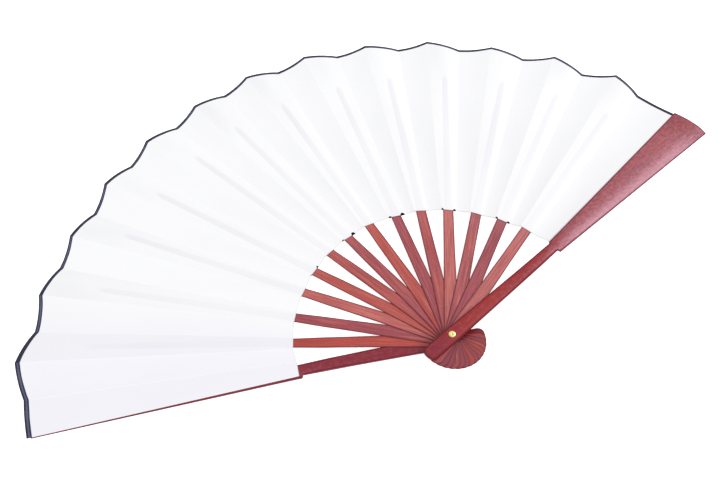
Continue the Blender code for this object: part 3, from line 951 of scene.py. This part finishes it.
def pressFlat(piece, body, pocket, above, keep):
    # Works out, for the closed fan, the up direction of the plane where this pocket then lies
    # and a point so far above it, in the frame of the piece's body, and gives the piece its own
    # mesh. The piece itself is not pressed
    height = opening["firstHeight"] + (pocket - 1) * opening["pitch"]
    angle = math.radians(stickAngle(pocket))
    across = np.array([math.cos(angle), -math.sin(angle), 0])
    upright = across * math.sin(pleatTilt) + np.array([0, 0, math.cos(pleatTilt)])
    place = closedPlace[f"stick_{pocket:02d}"]
    up = place.to_3x3() @ Vector(upright)
    middle = place @ Vector((0, 0, height / 1000))
    back = closedPlace[body].inverted()
    anchor = back @ (middle + up * (above / 1000))
    tuple(back.to_3x3() @ up)
    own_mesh(piece)


def drawIn(piece, body, low, high, lift, keep):
    # Works out, for the closed fan, the direction along the piece's lower crease and across it,
    # tilted against the body's up by lift, and gives the piece its own mesh. The piece itself is
    # not drawn in
    along = low[1] - low[0]
    along = along / np.linalg.norm(along)
    across = high[1] - low[1]
    across = across - along * across.dot(along)
    up = np.array(closedPlace[body].inverted().to_3x3() @ Vector((0, 0, 1)))
    axis = across / np.linalg.norm(across) - up * lift
    tuple(low[0] / 1000)
    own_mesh(piece)


def panelSurface(left, right, edgeBulge, crowns):
    # Ruled between two creases, bowed out at the outer edge by a parabola, and crowned by
    # another in proportion to its width. Also its normals and its shares across and along
    across = np.linspace(0, 1, leaf["across"])[None, :, None]
    along = np.linspace(0, 1, leaf["along"])[:, None, None]
    points = between(between(left[0], left[1], along), between(right[0], right[1], along), across)
    parabola = 4 * across * (1 - across)
    outward = points * np.array([1, 1, 0])
    outward = outward / np.linalg.norm(outward, axis=-1, keepdims=True)
    points = points + outward * edgeBulge * parabola * along
    normal = np.cross(np.gradient(points, axis=1), np.gradient(points, axis=0))
    normal = normal / np.linalg.norm(normal, axis=-1, keepdims=True)
    normal = normal * np.sign(normal[..., 2:3])
    width = np.linalg.norm(left[1] - right[1]) / leaf["crownWidth"]
    points = points + normal * between(*crowns, along) * width * parabola
    return points, normal, across[..., 0], along[..., 0]


# A row of the section is (how far in from the leaf's edge, how far up), in shares of the tape's
# width and of its own thickness past the paper's face
binding = {
    "width": 2.45,
    "wideWidth": 3.4,
    "rearWide": (-48, -74),
    "frontWide": (50, 72),
    "frontShare": 0.4,
    "thickness": 0.13,
    "waver": 0.10,
    "waves": (0.61, 1.37),
    "section": (
        (1.00, -0.2), (0.96, -1.0), (0.50, -1.35), (0.10, -1.1), (-0.03, -0.7), (-0.07, 0.0),
        (-0.03, 0.7), (0.10, 1.1), (0.50, 1.35), (0.96, 1.0), (1.00, 0.2), (1.00, -0.2),
    ),
    # The painted sheen: how strong on pockets and folds from rear to front, and where it lies
    # across the tape and how wide
    "pocketSheens": (0.40, 0.95),
    "foldSheens": (1.10, 0.35),
    "sheenSpan": (-75, 75),
    "sheenMiddle": 0.5,
    "sheenReach": 0.28,
    "sharpAngle": 50,
}


def bindEdge(name, points, normal, widths, sheenLevel):
    # The tape's closed section, from its back edge round the fold to its front edge, carried
    # along the leaf's outer edge
    section = np.array(binding["section"])
    edge, up = points[-1], normal[-1]
    outward = edge - points[-2]
    outward = outward / np.linalg.norm(outward, axis=-1, keepdims=True)
    inward = section[:, 0] * np.broadcast_to(widths, edge.shape[:1])[:, None]
    lift = section[:, 1] * binding["thickness"]
    grid = edge[:, None] - outward[:, None] * inward[..., None] + up[:, None] * lift[None, :, None]
    run = np.concatenate([[0], np.cumsum(np.linalg.norm(np.diff(edge, axis=0), axis=1))])
    maps = np.stack([np.broadcast_to(run[:, None], inward.shape), inward], -1) / 1000
    # Painted sheen, strongest across the middle of each face
    across = (section[:, 0] - binding["sheenMiddle"]) / binding["sheenReach"]
    paintedSheen = np.broadcast_to(sheenLevel * np.exp(-across ** 2), inward.shape)
    patches = [{"points": grid, "map": maps, "fields": {"paintedSheen": paintedSheen}}]
    for end in (0, -1):
        ring = grid[end]
        middle = np.broadcast_to(ring[:-1].mean(0), ring.shape)
        patches.append({"points": np.stack([middle, ring]), "fields": {"paintedSheen": 0.0}})
    return stitch(name, patches, [tapeFinish], binding["sharpAngle"])


def clockwise(points):
    # The angles at which these points stand round the rivet
    return np.degrees(np.arctan2(points[..., 0], points[..., 1]))


def bindingWidths(points):
    # Even along the fan, wider towards both guards, and cut a little unevenly
    angle = clockwise(points[-1])
    wide = ease(*binding["rearWide"], angle)
    wide = wide + binding["frontShare"] * ease(*binding["frontWide"], angle)
    slow, quick = binding["waves"]
    waver = np.sin(angle * slow + 1) * np.sin(angle * quick) * binding["waver"]
    return between(binding["width"], binding["wideWidth"], wide) + waver


def makePanel(name, body, node, creases, edgeBulge, crowns, closing=None, pocket=0):
    # Two faces of paper beside a ruled surface, closer together towards its creases. A pocket's
    # faces part over the slip and at its mouth. Closing is a function and its last arguments
    points, normal, across, along = panelSurface(*creases, edgeBulge, crowns)
    radius = np.hypot(points[..., 0], points[..., 1])
    width = np.linalg.norm(points[:, -1] - points[:, 0], axis=-1)[:, None]
    x = (across - 0.5) * width
    toCrease = width / 2 - np.abs(x)
    size = leaf["ply"] * ease(0, leaf["taper"], toCrease)
    front, back = size, size
    inward = radius - radius[0]
    fields = {
        "rim": inward,
        "toCrease": toCrease,
        "along": along + 0 * across,
        # How far into the painted cool shade of the lower left
        "coolShade": ease(*leaf["coolSide"], clockwise(points)),
    }
    finishes = [foldFinish]
    if pocket:
        angle = math.radians(stickAngle(pocket) + leaf["innerLeans"][pocket - 1])
        x = points[..., 0] * math.cos(angle) - points[..., 1] * math.sin(angle)
        y = points[..., 0] * math.sin(angle) + points[..., 1] * math.cos(angle)
        end = stick["slipEnd"]
        half = stickHalfWidth(np.minimum(y, end - leaf["slipTip"]))
        beyond = ease(end, end + leaf["slipBeyond"], y)
        held = (1 - ease(half, half + leaf["slipReach"], np.abs(x))) * (1 - beyond)
        # The mouth gapes beside the stick, most where its front sheet is notched
        notch = np.where(x < 0, leaf["mouthsLeft"][pocket - 1], leaf["mouthsRight"][pocket - 1])
        beside = ease(*leaf["mouthBeside"], np.abs(x) - half)
        beside = beside * ease(0, leaf["mouthCorner"], toCrease)
        opened = beside * np.minimum(notch, 1)
        faded = opened * (1 - ease(0, leaf["mouthFade"], inward))
        crowned = between(*leaf["pocketCrowns"], along) * 4 * across * (1 - across)
        flatBack = crowned * (1 - ease(end, leaf["flatBackEnd"], y))
        front = size + leaf["slipLift"] * held + leaf["mouthLift"] * faded
        back = size + leaf["slipLift"] * held + flatBack + leaf["mouthSag"] * faded
        # The slip's shade: rounded at its tip, and deepest along its left edge
        past = np.maximum(y - end + leaf["tipShade"], 0) / leaf["tipShade"] * half
        soft = leaf["shadeSoftness"]
        shaded = 1 - ease(half - soft, half + soft, np.hypot(past, x))
        leftEdge = leaf["leftEdgeDepth"] * np.exp(-(((x + half) / leaf["leftEdgeReach"]) ** 2))
        fields["slip"] = leaf["slipShades"][pocket - 1] * shaded * (1 + leftEdge)
        fields["leftward"] = 1 - ease(*leaf["leftward"], x)
        finishes = [pocketFinish, mouthFinish]
    stepAcross, stepAlong = leaf["patternStep"]
    maps = np.stack([x / 1000 + pocket * stepAcross, radius / 1000 + pocket * stepAlong], -1)
    upper, lower = points + normal * front[..., None], points - normal * back[..., None]
    if pocket:
        cutBack = (notch * beside)[0] / (radius[1] - radius[0])
        upper[0] += (points[1] - points[0]) * cutBack[:, None]
    edges = np.s_[-1, :], np.s_[:, 0], np.s_[:, -1]
    patches = slab(upper, lower, maps, fields, edges)
    if pocket:
        # The throat sinks to its full depth in the middle of the mouth. Its near black finish is a
        # painted shade
        deep = int(np.argmin(np.abs(inward[:, 0] - leaf["mouthDepth"])))
        throat = between(points[0], points[deep], (4 * across * (1 - across))[0, :, None])
        mouth = np.stack([upper[0], throat, lower[0]])
        patches.append({"points": mouth, "fields": {key: 0.0 for key in fields}, "finish": 1})
    else:
        patches.append({"points": np.stack([upper[0], lower[0]]), "fields": {"rim": 0.0}})
    piece = stitch(name, patches, finishes, leaf["sharpAngle"])
    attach(piece, body)
    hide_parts(node)
    # The painted sheen on the pockets' binding is stronger towards the front guard, and on the
    # folds' towards the rear
    frontward = ease(*binding["sheenSpan"], clockwise(points[-1, 0]))
    sheenLevel = between(*binding["pocketSheens" if pocket else "foldSheens"], frontward)
    edging = bindEdge("binding_" + name, points, normal, bindingWidths(points), sheenLevel)
    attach(edging, body)
    if closing:
        way, *how = closing
        way(piece, body, *how)
        way(edging, body, *how)
    length = float(np.linalg.norm(points[-1, 0] - points[0, 0])) / 1000
    return piece


count = opening["sticks"]
rearCrease = math.radians(opening["firstStick"] - leaf["rearFoldSpan"]) - halfSpan
frontCrease = math.radians(-opening["firstStick"] + leaf["frontFoldSpan"]) + halfSpan
for number in range(count + 1):
    # The pocket on this stick, and the fold from there to the next stick or to the front guard
    angle = math.radians(stickAngle(max(number, 1)))
    base = opening["firstHeight"] + (number - 1) * opening["pitch"]
    nextBase = base + opening["pitch"]
    if number:
        creases = ridge(angle - halfSpan, base, number), valley(angle + halfSpan, base, number)
        closing = pressFlat, number, leaf["pocketPress"], leaf["pocketKeep"]
        makePanel(f"leafPocket_{number:02d}", f"stick_{number:02d}", f"pocket_panel_{number:02d}",
                  creases, leaf["pocketEdgeBulge"], leaf["pocketCrowns"], closing, number)
    low = valley(angle + halfSpan if number else rearCrease, base, number)
    bulge, crowns = leaf["foldEdgeBulge"], leaf["foldCrowns"]
    closing = pressFlat, number, leaf["foldPress"], leaf["foldKeep"]
    if number == 0:
        bulge = leaf["rearFoldEdgeBulge"]
        closing = pressFlat, 1, -leaf["foldPress"], leaf["foldKeep"]
    if number < count:
        high = ridge(math.radians(stickAngle(number + 1)) - halfSpan, nextBase, number + 1)
    else:
        high = crease(frontCrease, nextBase, pleatRise, leaf["frontEdgeRadius"])
        bulge, crowns = leaf["lastFoldEdgeBulge"], leaf["lastFoldCrowns"]
        closing = drawIn, low, high, leaf["lastFoldLift"], leaf["lastFoldKeep"]
    makePanel(f"leafFold_{number:02d}", f"fold_{number:02d}", f"fold_panel_{number:02d}",
              (low, high), bulge, crowns, closing)
print(f"leaf: {count} pockets and {count + 1} folds")


def endPanel(name, node, owner, fold, edgeRadii, insets):
    # Glued to the guard from its outer edge, and free from there to the last crease
    radii = np.array(edgeRadii)
    x = np.array(insets) - guardWidths(radii, owner["slant"])[0]
    y = np.sqrt(radii * radii - x * x)
    edge = np.stack([x, y, endPanelHeight(y)], -1)
    height = opening["guardsHeightSum"] if owner["turnedOver"] else 0.0
    edge = intoFan(edge, owner["angle"], height, owner["turnedOver"])
    return makePanel(name, owner["body"], node, (edge, fold),
                     leaf["endEdgeBulge"], (0.0, 0.0))


rearEdge = leaf["rearInnerRadius"], leaf["rearEdgeRadius"]
rearFold = valley(rearCrease, rearLeafHeight, 0)
endPanel("leafEndRear", "rear_end_panel", rearGuard, rearFold, rearEdge, leaf["rearInsets"])
frontEdge = leaf["innerRadius"], leaf["frontEdgeRadius"]
frontBase = opening["firstHeight"] + count * opening["pitch"]
frontFold = crease(frontCrease, frontBase, pleatRise, leaf["frontEdgeRadius"])
endPanel("leafEndFront", "front_end_panel", frontGuard, frontFold, frontEdge, leaf["frontInsets"])
print("leaf: 2 end panels")

rivet = {
    "seat": 11.65,
    "domeRadius": 2.65,
    "domeRim": 0.2,
    "domeHeight": 0.55,
    "dimple": 0.14,
    "dimpleRadius": 0.9,
    "pinRadius": 1.4,
    "pinEnd": 0.5,
    "capRadius": 3.5,
    "capHeight": 0.8,
    "capEdge": 0.3,
    "socketRadius": 1.5,
    "socketFloor": 0.4,
    # The dome's darker middle, a painted reflection on a rougher finish, and its duller rim
    "darkMiddle": 0.65,
    "darkMiddleReach": 1.3,
    "dullRim": (2.35, 2.6),
    "steps": 64,
    "sharpAngle": 40,
}


def turnedPiece(name, profile, dullAndReflection, node):
    # A profile of (radius, height) carried round the rivet's axis
    turn = np.linspace(0, 2 * np.pi, rivet["steps"] + 1)
    profile = np.asarray(profile, float)
    grid = spot(profile[:, 0][:, None], turn[None, :], profile[:, 1][:, None])
    grid[:, -1] = grid[:, 0]
    dulled = np.broadcast_to(np.asarray(dullAndReflection, float)[:, None], grid.shape[:2])
    patches = [{"points": grid, "fields": {"dullAndReflection": dulled}}]
    piece = stitch(name, patches, [brassFinish], rivet["sharpAngle"])
    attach(piece, "rear")
    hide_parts(node)
    return piece


turns = np.radians(np.linspace(0, 90, 19))
domeAcross = rivet["domeRadius"] * np.sin(turns)
domeUp = rivet["seat"] + rivet["domeRim"] + (rivet["domeHeight"] - rivet["domeRim"]) * np.cos(turns)
domeUp = domeUp - rivet["dimple"] * np.exp(-((domeAcross / rivet["dimpleRadius"]) ** 2))
head = list(zip(domeAcross, domeUp))
shaft = [(rivet["domeRadius"], rivet["seat"]), (rivet["pinRadius"], rivet["seat"])]
shaft += [(rivet["pinRadius"], rivet["pinEnd"]), (0.0, rivet["pinEnd"])]
# A painted reflection darkens the dome's middle, which is also rougher
headDullAndReflection = rivet["darkMiddle"] * np.exp(-((domeAcross / rivet["darkMiddleReach"]) ** 2))
headDullAndReflection = headDullAndReflection + ease(*rivet["dullRim"], domeAcross)
turnedPiece("rivetHead", head + shaft, [*headDullAndReflection, 1, 1, 1, 1], "rivet_pin")
capProfile = [
    (0.0, rivet["socketFloor"]),
    (rivet["socketRadius"], rivet["socketFloor"]),
    (rivet["socketRadius"], rivet["capHeight"]),
    (rivet["capRadius"], rivet["capHeight"]),
    (rivet["capRadius"], rivet["capEdge"]),
    (rivet["capRadius"] - 0.1, rivet["capEdge"] / 3),
    (rivet["capRadius"] - rivet["capEdge"], 0.0),
    (0.0, 0.0),
]
turnedPiece("rivetCap", capProfile, [0, 0, 1, 1, 0.6, 0.4, 0.2, 0.1], "rivet_cap")
print("rivet: head and cap")


studio = {
    "worldStrength": 0.66,
    "worldColour": (0.97, 0.97, 1.0),
    "floorColour": (0.92, 0.92, 0.92, 1.0),
    "floorSeen": (0.985, 0.985, 0.985, 1.0),
    "floorGrain": 40,
    "floorGlow": 0.75,
    "floorRadius": 4.0,
    "floorMiddle": (0, 0.1, -0.0002),
    "frontLight": 1.10,
    "frontFrom": (0.05, -0.66, 0.75),
    "frontSoftness": 25.0,
    "sideLight": 15.0,
    "sideColour": (0.96, 0.97, 1.0),
    "sideFrom": (0.58, 0.24, 0.78),
    "sideSize": 0.9,
    "lampDistance": 3.0,
}


def aim(thing, direction):
    # Turns a lamp or camera so that it looks back along this direction
    away = np.array(direction, float)
    away = away / np.linalg.norm(away)
    elevation = math.asin(away[2])
    azimuth = math.atan2(away[0], -away[1])
    thing.rotation_euler = (math.pi / 2 - elevation, 0.0, azimuth)
    return away


def makeLamp(name, kind, strength, direction):
    light = bpy.data.lights.new(name, kind)
    light.energy = strength
    lamp = bpy.data.objects.new(name, light)
    bpy.context.scene.collection.objects.link(lamp)
    lamp.location = aim(lamp, direction) * studio["lampDistance"]
    return light


def makeStudio():
    # A plain pale floor, an even world that the camera and shiny surfaces see as white, a soft
    # lamp from the front and a soft box high on the right, for the sheen on the front guard
    finish = Finish("paleFloor")
    place = finish.node("ShaderNodeTexCoord").outputs["Object"]
    grainy = finish.noise(place, 2, 0.5, studio["floorGrain"])
    colour = finish.mix(grainy, studio["floorSeen"], (1.0, 1.0, 1.0, 1.0))
    plain = finish.node("ShaderNodeBsdfDiffuse", {}, {"Color": studio["floorColour"]})
    white = finish.node("ShaderNodeBsdfDiffuse", {}, {"Color": colour})
    glow = finish.node("ShaderNodeEmission", {}, {"Strength": studio["floorGlow"]})
    lit = finish.node("ShaderNodeAddShader", {}, {0: white.outputs[0], 1: glow.outputs[0]})
    sockets = {0: finish.seen(), 1: plain.outputs[0], 2: lit.outputs[0]}
    mixed = finish.node("ShaderNodeMixShader", {}, sockets)
    finish.node("ShaderNodeOutputMaterial", {}, {"Surface": mixed.outputs[0]})
    bpy.ops.mesh.primitive_circle_add(
        vertices=96, radius=studio["floorRadius"], fill_type="NGON", location=studio["floorMiddle"]
    )
    floor = bpy.context.active_object
    floor.name = "paleFloor"
    floor.data.materials.append(finish.made)
    floor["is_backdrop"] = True

    world = bpy.data.worlds.new("evenLight")
    bpy.context.scene.world = world
    finish = Finish("evenLight", world)
    seen = finish.seen()
    strength = studio["worldStrength"] + seen * (1 - studio["worldStrength"])
    tint = finish.mix(seen, (*studio["worldColour"], 1.0), (1.0, 1.0, 1.0, 1.0))
    sky = finish.node("ShaderNodeBackground", {}, {"Color": tint, "Strength": strength})
    finish.node("ShaderNodeOutputWorld", {}, {"Surface": sky.outputs[0]})

    front = makeLamp("frontLight", "SUN", studio["frontLight"], studio["frontFrom"])
    front.angle = math.radians(studio["frontSoftness"])
    side = makeLamp("sideLight", "AREA", studio["sideLight"], studio["sideFrom"])
    side.color = studio["sideColour"]
    side.shape = "DISK"
    side.size = studio["sideSize"]


makeStudio()

# Where the photograph was taken from, fitted to the creases, stick ends, guards and rivet
photo = {
    "azimuth": -30.101,
    "elevation": 54.724,
    "roll": -1.607,
    "right": -66.63,
    "up": 71.80,
    "distance": 656.4,
    "focalPixels": 920.7,
    "imageWidth": 720,
}


def makeCamera():
    data = bpy.data.cameras.new("photoCamera")
    data.sensor_width = 36.0
    data.lens = photo["focalPixels"] * data.sensor_width / photo["imageWidth"]
    data.clip_start, data.clip_end = 0.01, 20.0
    camera = bpy.data.objects.new("photoCamera", data)
    bpy.context.scene.collection.objects.link(camera)
    azimuth, elevation = math.radians(photo["azimuth"]), math.radians(photo["elevation"])
    back = np.array([
        math.sin(azimuth) * math.cos(elevation),
        -math.cos(azimuth) * math.cos(elevation),
        math.sin(elevation),
    ])
    right = np.array([math.cos(azimuth), math.sin(azimuth), 0.0])
    up = np.cross(back, right)
    camera.location = (right * photo["right"] + up * photo["up"] + back * photo["distance"]) / 1000
    roll = math.radians(photo["roll"])
    across = right * math.cos(roll) - up * math.sin(roll)
    camera.rotation_euler = Matrix(np.stack([across, np.cross(back, across), back], 1)).to_euler()
    bpy.context.scene.camera = camera


makeCamera()
bpy.context.scene.view_settings.view_transform = "Standard"
print("studio, lamps and camera")

low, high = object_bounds()
